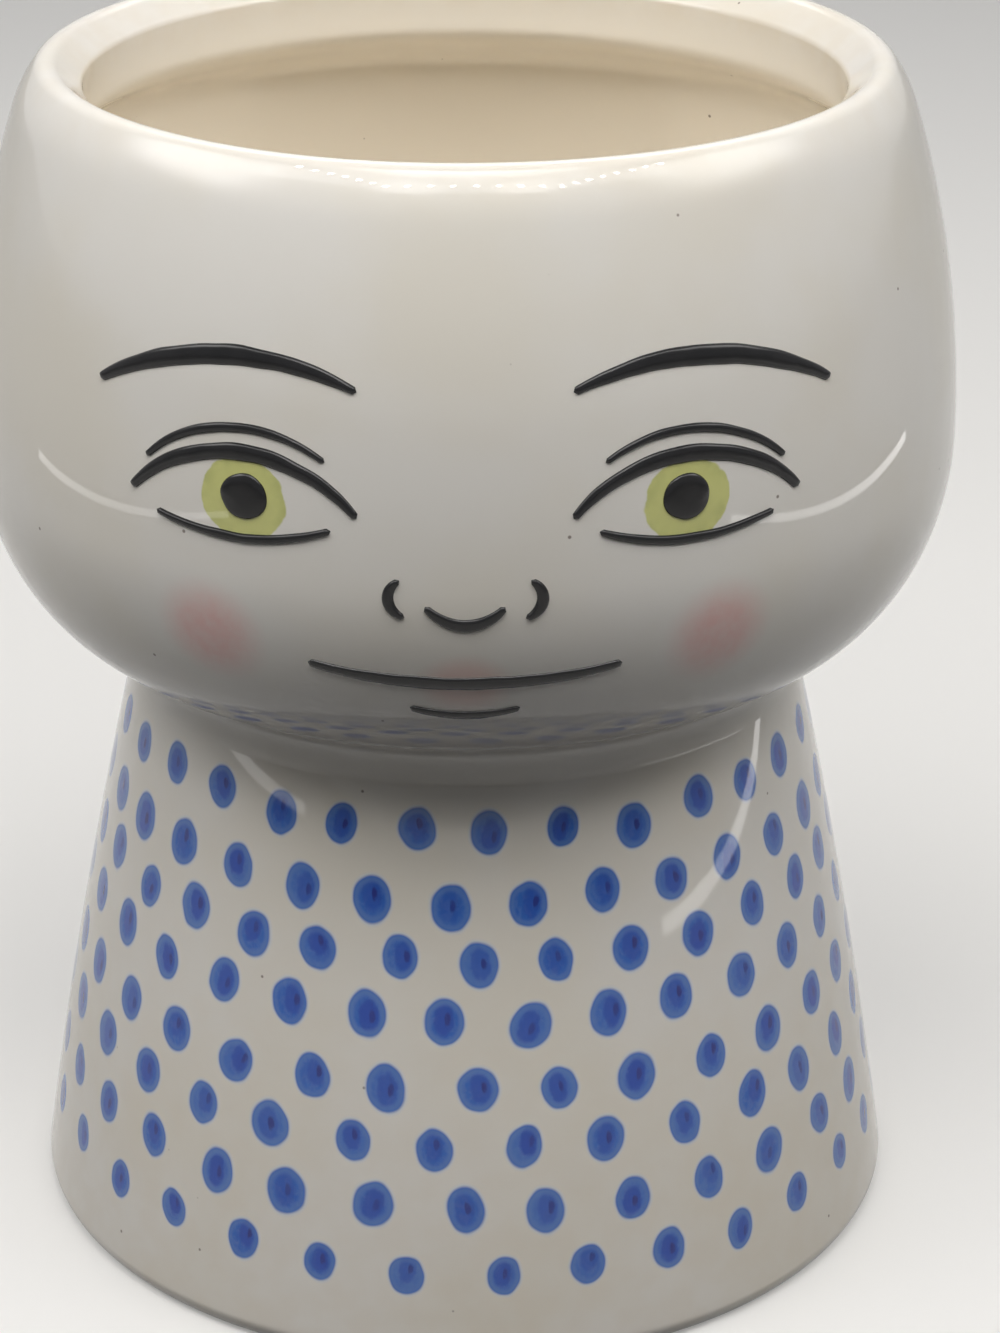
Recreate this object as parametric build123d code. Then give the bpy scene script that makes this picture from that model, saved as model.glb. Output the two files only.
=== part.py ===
from build123d import *
from math import cos, radians, sin
import os

# Face vase: a round head bowl luted to a flared torso, with raised enamel brush lines for a plain face.
# It stands on the XY plane, its axis is Z and the face looks along -Y. Lengths are in millimetres, angles
# in degrees. Sections are drawn as radius and height in a flat sketch, then turned about the axis.

# Overall sizes
overall_height = 154.3
head_radius = 62.7
neck_height = 79.7
neck_radius = 42.7
foot_radius = 57.7
wall = 4.6

# Head bowl: a cheek quarter below the widest ring, then a side, a shoulder and a narrow crest
belly_height = 107.3
underside_overhang = 0.2
side_turn = 18.7
shoulder_turn = 39.2
shoulder_arc = 16.4
crest_arc = 2.2

# Mouth: the rim slopes in from the crest to a thick lip, and the hollow widens below it
rim_width = 4.4
rim_slope = 40.0
lip_edge_arc = 1.2
lip_band = 5.0
inner_side_turn = 14.5
passage_edge_arc = 1.6

# Torso: one long bowed wall on a rounded foot with a dry foot ring
foot_lean = 8.5
foot_arc = 2.4
floor_height = 6.0
heel_arc = 9.0
foot_ring_width = 6.5
foot_ring_depth = 1.6
foot_ring_draft = 0.8

# Luted neck: a bevel on the torso's rim, filled with a wiped bead of slip
seam_bevel = 1.5
seam_reach = 5.5

# Enamel lines: how far they stand proud, and their widths at the middle and at the tips
enamel_rise = 0.4
brow_widths = (2.3, 1.0)
crease_widths = (1.1, 0.7)
upper_lid_widths = (2.0, 1.0)
lower_lid_widths = (1.2, 0.8)
nose_widths = (1.6, 0.9)
nostril_widths = (1.4, 0.8)
mouth_widths = (1.8, 1.1)
lip_widths = (1.2, 0.8)
pupil_radius = 2.7

# Front sector of the head that carries the face, in degrees
face_sector = 150

# Face layout: heights are shares of the head's height, and widths are shares of its diameter
brow_line_share = 2 / 3
eye_line_share = 1 / 2
nose_line_share = 1 / 3
mouth_line_share = 2 / 9
eye_width_share = 1 / 5

# Brush lines: start, middle and end, in shares of the eye's width from the line's own anchor
brow_shares = [(-0.50, 0.04), (0.10, 0.13), (0.66, -0.09)]
crease_shares = [(-0.36, 0.21), (0.04, 0.31), (0.45, 0.11)]
upper_lid_shares = [(-0.50, -0.03), (-0.02, 0.20), (0.52, -0.05)]
lower_lid_shares = [(-0.38, -0.12), (0.02, -0.20), (0.40, -0.15)]
nose_shares = [(-0.17, 0.03), (0.0, -0.05), (0.17, 0.03)]
nostril_shares = [(0.29, -0.01), (0.35, 0.07), (0.31, 0.16)]
mouth_shares = [(-0.70, 0.03), (0.0, -0.04), (0.70, 0.03)]
lip_shares = [(-0.24, -0.20), (0.0, -0.24), (0.24, -0.20)]

# Reach of a cutting shape past what it cuts
overrun = 5.0

# Worked out from the sizes above
head_height = overall_height - neck_height
eye_width = eye_width_share * 2 * head_radius
seat_radius = neck_radius - seam_bevel
underside_radius = seat_radius + underside_overhang


def on_circle(centre, radius, angle):
    """The point of a circle at an angle in degrees."""
    return centre + Vector(cos(radians(angle)), sin(radians(angle))) * radius


def inner_centre(centre, radius, next_radius, angle):
    """Centre of an arc that carries on smoothly from another one at an angle."""
    return on_circle(centre, radius - next_radius, angle)


def side_radius():
    """Radius of the bowl's long side arc that brings the crest to the overall height."""
    above_belly = overall_height - belly_height - crest_arc
    shoulder_rise = (shoulder_arc - crest_arc) * sin(radians(shoulder_turn))
    return shoulder_arc + (above_belly - shoulder_rise) / sin(radians(side_turn))


def cheek_curve(inset):
    """Quarter ellipse from the flat underside up to the widest ring, moved in by an inset."""
    width = head_radius - underside_radius - inset
    height = belly_height - neck_height - inset
    return EllipticalCenterArc((underside_radius, belly_height), width, height, start_angle=270, arc_size=90)


def side_curve(inset, turn):
    """The long side arc above the widest ring, moved in by an inset."""
    centre = Vector(head_radius - side_radius(), belly_height)
    return CenterArc(centre, side_radius() - inset, 0, turn)


def rim_curves():
    """Shoulder, crest, sloped rim and lip edge, from the top of the side to the lip band."""
    side_centre = Vector(head_radius - side_radius(), belly_height)
    shoulder_centre = inner_centre(side_centre, side_radius(), shoulder_arc, side_turn)
    crest_centre = inner_centre(shoulder_centre, shoulder_arc, crest_arc, shoulder_turn)
    slope_angle = 90 + rim_slope
    outward = on_circle(Vector(0, 0), 1, slope_angle)
    edge_x = crest_centre.X - rim_width + lip_edge_arc
    slope_reach = crest_centre.dot(outward) + crest_arc - lip_edge_arc
    edge_centre = Vector(edge_x, (slope_reach - edge_x * outward.X) / outward.Y)
    shoulder = CenterArc(shoulder_centre, shoulder_arc, side_turn, shoulder_turn - side_turn)
    crest = CenterArc(crest_centre, crest_arc, shoulder_turn, slope_angle - shoulder_turn)
    edge = CenterArc(edge_centre, lip_edge_arc, slope_angle, 180 - slope_angle)
    slope = Line(crest @ 1, edge @ 0)
    return [shoulder, crest, slope, edge]


def head_section():
    """Section of the head bowl, open at the mouth and at the neck passage."""
    outside = [cheek_curve(0), side_curve(0, side_turn)] + rim_curves()
    lip = Line(outside[-1] @ 1, outside[-1] @ 1 - Vector(0, lip_band))
    inner_side = side_curve(wall, inner_side_turn)
    inner_cheek = cheek_curve(wall)
    throat = Spline(lip @ 1, inner_side @ 1, tangents=[Vector(0, -1), -(inner_side % 1)])
    passage_radius = neck_radius - wall
    passage_top = Vector(passage_radius, neck_height + wall)
    floor = Line(inner_cheek @ 0, passage_top)
    bore = Line(passage_top, Vector(passage_radius, neck_height))
    seat = Line(bore @ 1, outside[0] @ 0)
    section = make_face(outside + [lip, throat, inner_side, inner_cheek, floor, bore, seat])
    edge_point = section.vertices().sort_by_distance(passage_top)[0]
    return fillet(edge_point, passage_edge_arc)


def torso_wall():
    """The bowed outside of the torso, from the foot's rounding up to the neck."""
    foot_centre = Vector(foot_radius - foot_arc, foot_arc)
    lean = radians(foot_lean)
    start = on_circle(foot_centre, foot_arc, foot_lean)
    return TangentArc(start, (neck_radius, neck_height), tangent=(-sin(lean), cos(lean)))


def torso_section():
    """Section of the torso: a hollow flared shell with a floor, a foot ring and a bevelled rim."""
    foot_centre = Vector(foot_radius - foot_arc, foot_arc)
    foot = CenterArc(foot_centre, foot_arc, -90, 90 + foot_lean)
    bowed = torso_wall()
    rim = Line(bowed @ 1, (0, neck_height))
    axis = Line(rim @ 1, (0, 0))
    base = Line(axis @ 1, foot @ 0)
    block = make_face([base, foot, bowed, rim, axis])

    room = Rectangle(foot_radius, neck_height, align=(Align.MIN, Align.MIN))
    hollow = (Pos(-wall, 0) * block) & (Pos(0, floor_height) * room)
    heel = hollow.vertices().group_by(Axis.Y)[0].sort_by(Axis.X)[-1]
    hollow = fillet(heel, heel_arc)

    recess_radius = foot_radius - foot_arc - foot_ring_width
    recess_corner = (recess_radius - foot_ring_draft, foot_ring_depth)
    recess = Polygon((0, 0), (recess_radius, 0), recess_corner, (0, foot_ring_depth), align=None)

    bevel_reach = seam_bevel + overrun
    bevel_low = (seat_radius + bevel_reach, neck_height - bevel_reach)
    bevel_top = (seat_radius + bevel_reach, neck_height)
    bevel = Polygon((seat_radius, neck_height), bevel_low, bevel_top, align=None)
    return block - hollow - recess - bevel


def seam_section(head, torso):
    """Section of the bead of slip, wiped smooth from the torso's wall out to the head's underside."""
    cheek = cheek_curve(0)
    bowed = torso_wall()
    corner = Vector(seat_radius, neck_height)
    by_length = PositionMode.LENGTH
    low_reach = bowed.length - seam_reach
    on_head = cheek.position_at(seam_reach, by_length)
    on_torso = bowed.position_at(low_reach, by_length)
    ways = [bowed.tangent_at(low_reach, by_length), cheek.tangent_at(seam_reach, by_length)]
    face = Spline(on_torso, on_head, tangents=ways)
    bead = make_face([Line(corner, on_torso), face, Line(on_head, corner)])
    return bead - head - torso


def turned(section):
    """A section turned once about the vase's axis."""
    return revolve(Plane.XZ * section, Axis.Z)


def enamel_skin():
    """Thin skin over the front sector of the head, as thick as an enamel line stands proud."""
    inside = [cheek_curve(0), side_curve(0, side_turn)]
    outside = [cheek_curve(-enamel_rise), side_curve(-enamel_rise, side_turn)]
    ends = [Line(inside[0] @ 0, outside[0] @ 0), Line(inside[1] @ 1, outside[1] @ 1)]
    section = Plane.XZ * make_face(inside + outside + ends)
    first_edge = Rot(0, 0, -90 - face_sector / 2) * section
    return revolve(first_edge, Axis.Z, face_sector)


def brush_outline(anchor, shares, widths, side=1):
    """Outline of one brush line seen from the front: a band that tapers to two round tips."""
    middle_width, tip_width = widths
    points = [anchor + Vector(side * across, up) * eye_width for across, up in shares]
    spine = ThreePointArc(*points)

    def bank(sign):
        """Three points along one side of the line."""
        stations = [(0, tip_width), (1 / 2, middle_width), (1, tip_width)]
        return [spine @ t + (spine % t).rotate(Axis.Z, 90) * (sign * width / 2) for t, width in stations]

    left = bank(1)
    right = bank(-1)
    start_tip = spine @ 0 - (spine % 0) * (tip_width / 2)
    end_tip = spine @ 1 + (spine % 1) * (tip_width / 2)
    end_cap = ThreePointArc(left[2], end_tip, right[2])
    start_cap = ThreePointArc(right[0], start_tip, left[0])
    return make_face([ThreePointArc(*left), end_cap, ThreePointArc(*right), start_cap])


def line_height(share):
    """Height of one of the face's guide lines."""
    return neck_height + share * head_height


def face_outlines():
    """Every enamel line's outline seen from the front, by name."""
    outlines = {}
    for name, side in (("left", 1), ("right", -1)):
        brow = Vector(side * eye_width, line_height(brow_line_share))
        eye = Vector(side * eye_width, line_height(eye_line_share))
        nose_side = Vector(0, line_height(nose_line_share))
        outlines[f"brow_{name}"] = brush_outline(brow, brow_shares, brow_widths, side)
        outlines[f"lid_crease_{name}"] = brush_outline(eye, crease_shares, crease_widths, side)
        outlines[f"upper_lid_{name}"] = brush_outline(eye, upper_lid_shares, upper_lid_widths, side)
        outlines[f"lower_lid_{name}"] = brush_outline(eye, lower_lid_shares, lower_lid_widths, side)
        outlines[f"pupil_{name}"] = Pos(eye) * Circle(pupil_radius)
        outlines[f"nostril_{name}"] = brush_outline(nose_side, nostril_shares, nostril_widths, side)
    nose = Vector(0, line_height(nose_line_share))
    mouth = Vector(0, line_height(mouth_line_share))
    outlines["nose_line"] = brush_outline(nose, nose_shares, nose_widths)
    outlines["mouth_line"] = brush_outline(mouth, mouth_shares, mouth_widths)
    outlines["lower_lip_line"] = brush_outline(mouth, lip_shares, lip_widths)
    return outlines


def enamel_lines():
    """The raised lines: each outline is pushed forward through the thin skin over the head."""
    skin = enamel_skin()
    reach = head_radius + overrun
    return {name: skin & extrude(Plane.XZ * outline, reach) for name, outline in face_outlines().items()}


def vase_pieces():
    """Every piece of the vase, by name."""
    head = head_section()
    torso = torso_section()
    pieces = {
        "head_bowl": turned(head),
        "torso_shell": turned(torso),
        "neck_seam": turned(seam_section(head, torso)),
    }
    pieces.update(enamel_lines())
    return pieces


os.makedirs("parts", exist_ok=True)
for piece_name, piece in vase_pieces().items():
    export_step(piece, f"parts/{piece_name}.step")
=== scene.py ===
import random
from math import atan2, ceil, cos, degrees, hypot, pi, radians, sin, sqrt

import bmesh
import bpy
import numpy as np
from mathutils import Matrix, Vector, noise


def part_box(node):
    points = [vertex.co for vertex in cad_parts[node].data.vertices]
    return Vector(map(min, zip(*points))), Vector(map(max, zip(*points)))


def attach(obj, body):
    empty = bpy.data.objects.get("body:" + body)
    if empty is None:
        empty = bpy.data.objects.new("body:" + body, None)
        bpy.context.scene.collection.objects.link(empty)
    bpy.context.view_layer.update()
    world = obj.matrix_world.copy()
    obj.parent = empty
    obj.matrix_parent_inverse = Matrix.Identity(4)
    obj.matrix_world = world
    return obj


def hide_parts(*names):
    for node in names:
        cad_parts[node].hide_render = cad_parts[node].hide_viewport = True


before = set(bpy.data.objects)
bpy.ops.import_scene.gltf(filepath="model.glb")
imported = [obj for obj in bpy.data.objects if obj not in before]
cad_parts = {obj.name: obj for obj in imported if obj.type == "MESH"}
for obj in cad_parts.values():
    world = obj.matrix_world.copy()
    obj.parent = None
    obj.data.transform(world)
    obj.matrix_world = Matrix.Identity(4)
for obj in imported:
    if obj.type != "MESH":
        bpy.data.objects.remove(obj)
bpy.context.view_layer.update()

# Finish of the face vase: the two glazed pieces and the bead between them as dense turned meshes with a
# hand-made unevenness, the face as beads of raised enamel, and the washes and dabs in the glazes' colour.
# Lengths are in metres and angles in degrees. The vase's axis is Z and the face looks along -Y.

mm = 0.001

# Sizes read from the frame
head_low, head_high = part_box("head_bowl")
torso_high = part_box("torso_shell")[1]
head_radius = head_high.x
overall_height = head_high.z
neck_height = head_low.z
foot_radius = torso_high.x

# The rest of the outline, as in the construction
wall = 4.6 * mm
neck_radius = 42.7 * mm
belly_height = 107.3 * mm
underside_radius = 41.4 * mm
side_turn = 18.7
shoulder_turn = 39.2
shoulder_arc = 16.4 * mm
crest_arc = 2.2 * mm
mouth_radius = 47.0 * mm
rim_slope = 40.0
lip_edge_arc = 1.2 * mm
lip_band = 5.0 * mm
inner_side_turn = 14.5
passage_edge_arc = 1.6 * mm
foot_lean = 8.5
foot_arc = 2.4 * mm
floor_height = 6.0 * mm
heel_arc = 9.0 * mm
foot_ring_width = 6.5 * mm
foot_ring_depth = 1.6 * mm
foot_ring_draft = 0.8 * mm
seam_bevel = 1.5 * mm
seam_reach = 5.5 * mm

# How far the seam's mesh runs on under both pieces' surfaces, and how deep it goes there
seam_lead = 2.0 * mm
seam_sink = 0.05 * mm

# Unevenness of the hand-finished clay: how deep it lies inside the true outline, and over what length
swell_depth = 0.30 * mm
swell_length = 55 * mm
ripple_depth = 0.02 * mm
ripple_length = 14 * mm
swell_seed = Vector((3.1, 7.4, 1.7))
ripple_seed = Vector((9.2, 0.3, 5.8))
calm_height = 1.2 * mm

# Mesh fineness: steps round the axis, the length and the turn of a step along the outline, and how far apart
# two points are that count as one, or that a slope is taken from
around = 288
outline_step = 1.1 * mm
widest_turn = 7.0
smooth_steps = 20
sharp_turn = 35.0
same_place = 0.01 * mm
hair = 0.02 * mm

# Marks along the outline, as shares: how thin the glaze gets, and how far in the painted bounce light reaches
shoulder_thin = 0.4
slope_thin = 0.6
band_thin = 0.1
recess_thin = 0.3
slope_inside = 0.05
lip_inside = 0.3
band_inside = 0.75

# Face layout, as in the construction
eye_width = 2 * head_radius / 5
head_height = overall_height - neck_height
brow_line = neck_height + head_height * 2 / 3
eye_line = neck_height + head_height / 2
nose_line = neck_height + head_height / 3
mouth_line = neck_height + head_height * 2 / 9

# Enamel lines: the anchor's place across and height, three points from it in shares of the eye's width, and
# the widths at the middle and the tips. The first five are on both sides.
paired_lines = {
    "brow": (eye_width, brow_line, [(-0.50, 0.04), (0.10, 0.13), (0.66, -0.09)], (2.3 * mm, 1.0 * mm)),
    "lid_crease": (eye_width, eye_line, [(-0.36, 0.21), (0.04, 0.31), (0.45, 0.11)], (1.1 * mm, 0.7 * mm)),
    "upper_lid": (eye_width, eye_line, [(-0.50, -0.03), (-0.02, 0.20), (0.52, -0.05)], (2.0 * mm, 1.0 * mm)),
    "lower_lid": (eye_width, eye_line, [(-0.38, -0.12), (0.02, -0.20), (0.40, -0.15)], (1.2 * mm, 0.8 * mm)),
    "nostril": (0, nose_line, [(0.29, -0.01), (0.35, 0.07), (0.31, 0.16)], (1.4 * mm, 0.8 * mm)),
}
single_lines = {
    "nose_line": (0, nose_line, [(-0.17, 0.03), (0.0, -0.05), (0.17, 0.03)], (1.6 * mm, 0.9 * mm)),
    "mouth_line": (0, mouth_line, [(-0.70, 0.03), (0.0, -0.04), (0.70, 0.03)], (1.8 * mm, 1.1 * mm)),
    "lower_lip_line": (0, mouth_line, [(-0.24, -0.20), (0.0, -0.24), (0.24, -0.20)], (1.2 * mm, 0.8 * mm)),
}

# Enamel beads: how far they stand proud, their mesh and section, and how uneven the hand is
pupil_radius = 2.7 * mm
enamel_rise = 0.4 * mm
enamel_sink = 0.12 * mm
bead_step = 0.35 * mm
bead_columns = 10
bead_underside = (0.96, 0, -0.96)
bead_section = (2.4, 0.6)
bluntest = 0.004
line_seed = 3.7
bank_unevenness = 0.13
bank_wave = 3.2 * mm
bank_seed = 8.1
spine_unevenness = 0.10 * mm
spine_pace = 0.5
spine_seed = 4.2
rise_unevenness = 0.15
rise_pace = 1.7
rise_seed = 6.6

# Pupils: rings as shares of the radius and the rise, none for the two underneath, and how uneven the edge is
pupil_rings = [(0.06, 1.0), (0.3, 1.0), (0.55, 0.97), (0.75, 0.88), (0.88, 0.68), (0.96, 0.4), (1.0, 0.0),
               (0.96, None), (0.06, None)]
pupil_columns = 44
pupil_unevenness = 0.07
pupil_wave = 1.2
pupil_seeds = {"left": 87.0, "right": 89.9}

# Washes on the front of the face: places and reaches, noises as length and detail, their bands, and shares
front_band = (-20 * mm, -12 * mm)
blush_across = 29.5 * mm
blush_height = 99.0 * mm
blush_radius = 8.2 * mm
blush_core = 0.25
blush_share = 0.62
blush_noise = (1.4 * mm, 3)
blush_band = (0.2, 0.8)
blush_least = 0.75
lip_wash_reach = (6.5 * mm, 5.0 * mm)
lip_wash_drop = 1.2 * mm
lip_wash_core = 0.35
lip_wash_share = 0.5
iris_radius = 5.2 * mm
iris_drop = 0.4 * mm
iris_blur = 0.25 * mm
iris_waver = 0.9 * mm
iris_edge_noise = (2.2 * mm, 2)
iris_streak_noise = (2.6 * mm, 2)
iris_ring_start = 0.5
iris_ring_share = 0.45
iris_share = 0.88
streak_band = (0.35, 0.7)

# Dabs: eight staggered rows of brush touches, each row with its height and the turn of its front dab
dabs_round = 31
row_heights = [68.8 * mm, 60.2 * mm, 52.8 * mm, 45.3 * mm, 36.8 * mm, 29.2 * mm, 21.1 * mm, 13.0 * mm]
row_turns = [4.3, -2.1, 1.9, -2.8, 1.5, -3.7, -0.6, 4.2]
row_waver = 0.6 * mm
dab_half_width = 2.48 * mm
dab_half_height = 2.98 * mm
outer_row_share = 0.90
dab_shift = 0.30 * mm
dab_size_spread = 0.06
dab_tilt_spread = 9.0
dab_seed = 17
dab_numbers = 100
far_from_dabs = 9.0


def arc(centre, radii, start, end):
    """Points along an arc of a circle or an ellipse about a centre, from one angle to another."""
    length = abs(radians(end - start)) * max(radii)
    steps = max(ceil(length / outline_step), ceil(abs(end - start) / widest_turn))
    angles = [radians(start + (end - start) * step / steps) for step in range(steps + 1)]
    return [Vector((centre.x + radii[0] * cos(a), centre.y + radii[1] * sin(a))) for a in angles]


def line(start, end):
    """Points along a straight line."""
    steps = max(1, ceil((end - start).length / outline_step))
    return [start.lerp(end, step / steps) for step in range(steps + 1)]


def smooth_curve(start, start_way, end, end_way):
    """Points along a curve that leaves one point and arrives at another along given ways."""
    reach = (end - start).length
    steps = max(ceil(2 * reach / outline_step), smooth_steps)
    leave = start + start_way * (reach / 3)
    arrive = end - end_way * (reach / 3)
    points = []
    for step in range(steps + 1):
        t = step / steps
        rest = 1 - t
        near = start * rest ** 3 + leave * (3 * rest ** 2 * t)
        points.append(near + arrive * (3 * rest * t ** 2) + end * t ** 3)
    return points


def on_circle(centre, radius, angle):
    """The point of a circle at an angle."""
    return centre + Vector((cos(radians(angle)), sin(radians(angle)))) * radius


class Outline:
    """A closed outline in radius and height, with marks along it for the materials."""

    def __init__(self):
        self.points = []
        self.marks = []
        self.facings = []

    def add(self, points, hollow=(0, 0), edge=(0, 0), clay=0, facing=None):
        """Carries the outline on, with how far inside, how thin-glazed and how bare it is there."""
        last = max(1, len(points) - 1)
        for index, point in enumerate(points):
            if self.points and (point - self.points[-1]).length < same_place:
                continue
            share = index / last
            inside = hollow[0] + (hollow[1] - hollow[0]) * share
            thin = edge[0] + (edge[1] - edge[0]) * share
            self.points.append(point)
            self.marks.append({"hollow": inside, "edge": thin, "clay": clay})
            self.facings.append(facing)
        return points[-1]


side_radius = shoulder_arc + ((overall_height - belly_height - crest_arc
                               - (shoulder_arc - crest_arc) * sin(radians(shoulder_turn)))
                              / sin(radians(side_turn)))
side_centre = Vector((head_radius - side_radius, belly_height))
cheek_centre = Vector((underside_radius, belly_height))
cheek_reach = Vector((head_radius - underside_radius, belly_height - neck_height))


def head_outline():
    """The head bowl: cheek, side, shoulder, crest, sloped rim, thick lip, hollow, passage and seat."""
    shoulder_centre = on_circle(side_centre, side_radius - shoulder_arc, side_turn)
    crest_centre = on_circle(shoulder_centre, shoulder_arc - crest_arc, shoulder_turn)
    slope_angle = 90 + rim_slope
    outward = on_circle(Vector((0, 0)), 1, slope_angle)
    edge_x = mouth_radius + lip_edge_arc
    slope_reach = crest_centre.dot(outward) + crest_arc - lip_edge_arc
    edge_centre = Vector((edge_x, (slope_reach - edge_x * outward.x) / outward.y))
    crest_end = on_circle(crest_centre, crest_arc, slope_angle)
    slope_end = on_circle(edge_centre, lip_edge_arc, slope_angle)

    outline = Outline()
    outline.add(arc(cheek_centre, cheek_reach, 270, 360))
    outline.add(arc(side_centre, (side_radius, side_radius), 0, side_turn))
    outline.add(arc(shoulder_centre, (shoulder_arc, shoulder_arc), side_turn, shoulder_turn),
                edge=(0, shoulder_thin))
    outline.add(arc(crest_centre, (crest_arc, crest_arc), shoulder_turn, slope_angle),
                edge=(shoulder_thin, slope_thin))
    outline.add(line(crest_end, slope_end), edge=(slope_thin, slope_thin), hollow=(0, slope_inside))
    lip_top = outline.add(arc(edge_centre, (lip_edge_arc, lip_edge_arc), slope_angle, 180),
                          edge=(slope_thin, 1), hollow=(slope_inside, lip_inside))
    lip_low = lip_top - Vector((0, lip_band))
    outline.add(line(lip_top, lip_low), edge=(1, band_thin), hollow=(lip_inside, band_inside))
    inner_start = on_circle(side_centre, side_radius - wall, inner_side_turn)
    inner_way = on_circle(Vector((0, 0)), 1, inner_side_turn - 90)
    outline.add(smooth_curve(lip_low, Vector((0, -1)), inner_start, inner_way), hollow=(band_inside, 1))
    outline.add(arc(side_centre, (side_radius - wall,) * 2, inner_side_turn, 0), hollow=(1, 1))
    outline.add(arc(cheek_centre, cheek_reach - Vector((wall, wall)), 360, 270), hollow=(1, 1))
    passage_radius = neck_radius - wall
    round_centre = Vector((passage_radius + passage_edge_arc, neck_height + wall - passage_edge_arc))
    outline.add(arc(round_centre, (passage_edge_arc,) * 2, 90, 180), hollow=(1, 1))
    outline.add(line(Vector((passage_radius, round_centre.y)), Vector((passage_radius, neck_height))),
                hollow=(1, 1))
    outline.add(line(Vector((passage_radius, neck_height)), Vector((underside_radius, neck_height)))[:-1],
                clay=1)
    return outline


def torso_wall(inset=0):
    """Centre, radius and end angles of the torso's bowed wall, seen in section."""
    foot_centre = Vector((foot_radius - foot_arc, foot_arc))
    outward = on_circle(Vector((0, 0)), 1, foot_lean)
    start = foot_centre + outward * foot_arc
    across = Vector((neck_radius, neck_height)) - start
    reach = across.length_squared / (2 * across.dot(outward))
    centre = start + outward * reach
    way = Vector((neck_radius, neck_height)) - centre
    start_angle = degrees(atan2(start.y - centre.y, start.x - centre.x)) % 360
    end_angle = degrees(atan2(way.y, way.x)) % 360
    return centre, abs(reach) + (inset if reach > 0 else -inset), start_angle, end_angle


def wall_from_axis(centre, radius, height):
    """How far the torso's wall lies from the axis at a height."""
    side = -1 if centre.x > 0 else 1
    return centre.x + side * sqrt(radius ** 2 - (height - centre.y) ** 2)


def torso_outline():
    """The torso: foot, bowed wall, bevelled rim, hollow with a rounded heel, floor and dry foot ring."""
    centre, radius, start_angle, end_angle = torso_wall()
    foot_centre = Vector((foot_radius - foot_arc, foot_arc))
    seat_radius = neck_radius - seam_bevel
    inner_radius = neck_radius - wall
    bevel_low = Vector((wall_from_axis(centre, radius, neck_height - seam_bevel), neck_height - seam_bevel))
    wall_points = [p for p in arc(centre, (radius, radius), start_angle, end_angle) if p.y < bevel_low.y]

    outline = Outline()
    outline.add(arc(foot_centre, (foot_arc, foot_arc), 270, 360 + foot_lean), edge=(1, slope_thin))
    outline.add(wall_points + [bevel_low], edge=(slope_thin, 0))
    outline.add(line(bevel_low, Vector((seat_radius, neck_height))))
    outline.add(line(Vector((seat_radius, neck_height)), Vector((inner_radius, neck_height))), clay=1)
    inner_low = floor_height + heel_arc
    inner_points = [Vector((p.x - wall, p.y)) for p in reversed(wall_points) if p.y > inner_low]
    heel_x = wall_from_axis(centre, radius, inner_low) - wall - heel_arc
    outline.add([Vector((inner_radius, neck_height))] + inner_points, hollow=(1, 1))
    outline.add(arc(Vector((heel_x, inner_low)), (heel_arc, heel_arc), 0, -90), hollow=(1, 1))
    outline.add(line(Vector((heel_x, floor_height)), Vector((0, floor_height)))[:-1], hollow=(1, 1))
    outline.add([Vector((0, floor_height)), Vector((0, foot_ring_depth))], hollow=(1, 1))
    recess_radius = foot_radius - foot_arc - foot_ring_width
    recess_corner = Vector((recess_radius - foot_ring_draft, foot_ring_depth))
    outline.add(line(Vector((0, foot_ring_depth)), recess_corner), edge=(recess_thin, slope_thin))
    outline.add(line(recess_corner, Vector((recess_radius, 0))), edge=(slope_thin, 1))
    outline.add(line(Vector((recess_radius, 0)), Vector((foot_radius - foot_arc, 0)))[:-1], clay=1)
    return outline


def seam_outline():
    """The bead of slip in the corner under the head, wiped smooth from the torso's wall to the underside."""
    centre, radius, start_angle, end_angle = torso_wall()
    upward = 1 if end_angle > start_angle else -1
    low_angle = end_angle - upward * degrees(seam_reach / radius)
    low = on_circle(centre, radius, low_angle)
    low_way = on_circle(Vector((0, 0)), 1, low_angle + upward * 90)
    turn = seam_reach / cheek_reach.x
    high = cheek_centre + Vector((cheek_reach.x * sin(turn), -cheek_reach.y * cos(turn)))
    high_way = Vector((cheek_reach.x * cos(turn), cheek_reach.y * sin(turn))).normalized()
    low_lead = low - low_way * seam_lead - Vector((seam_sink, 0))
    high_lead = high + high_way * seam_lead + Vector((0, seam_sink + seam_lead ** 2 / (2 * cheek_reach.x)))
    outline = Outline()
    outline.add([low_lead], facing=to_the_right(low_way))
    outline.add(smooth_curve(low, low_way, high, high_way))
    outline.add([high_lead], facing=to_the_right(high_way))
    outline.add([Vector((neck_radius - seam_bevel, neck_height))])
    return outline


def unevenness(angle, height):
    """How deep the hand-finished surface lies inside the true outline at a turn and a height."""
    spot = Vector((cos(angle) * head_radius, sin(angle) * head_radius, height))
    swell = 0.5 + 0.5 * noise.noise(spot / swell_length + swell_seed)
    ripple = 0.5 + 0.5 * noise.noise(spot / ripple_length + ripple_seed)
    calm = min(1, height / calm_height)
    return (swell_depth * min(1, max(0, swell)) + ripple_depth * min(1, max(0, ripple))) * calm


def to_the_right(way):
    """The direction to the right of a way, which is outward on an outline that runs anticlockwise."""
    return Vector((way.y, -way.x)).normalized()


def outline_normals(outline):
    """Outward normals along a closed outline that runs anticlockwise round the clay."""
    points = outline.points
    normals = []
    for index, point in enumerate(points):
        if outline.facings[index] is not None:
            normals.append(outline.facings[index])
            continue
        before = points[index - 1]
        after = points[(index + 1) % len(points)]
        way = after - before
        if way.length < same_place:
            way = after - point
        normals.append(to_the_right(way))
    return normals


def new_object(name, data):
    """An object in the scene."""
    thing = bpy.data.objects.new(name, data)
    bpy.context.scene.collection.objects.link(thing)
    return thing


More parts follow.
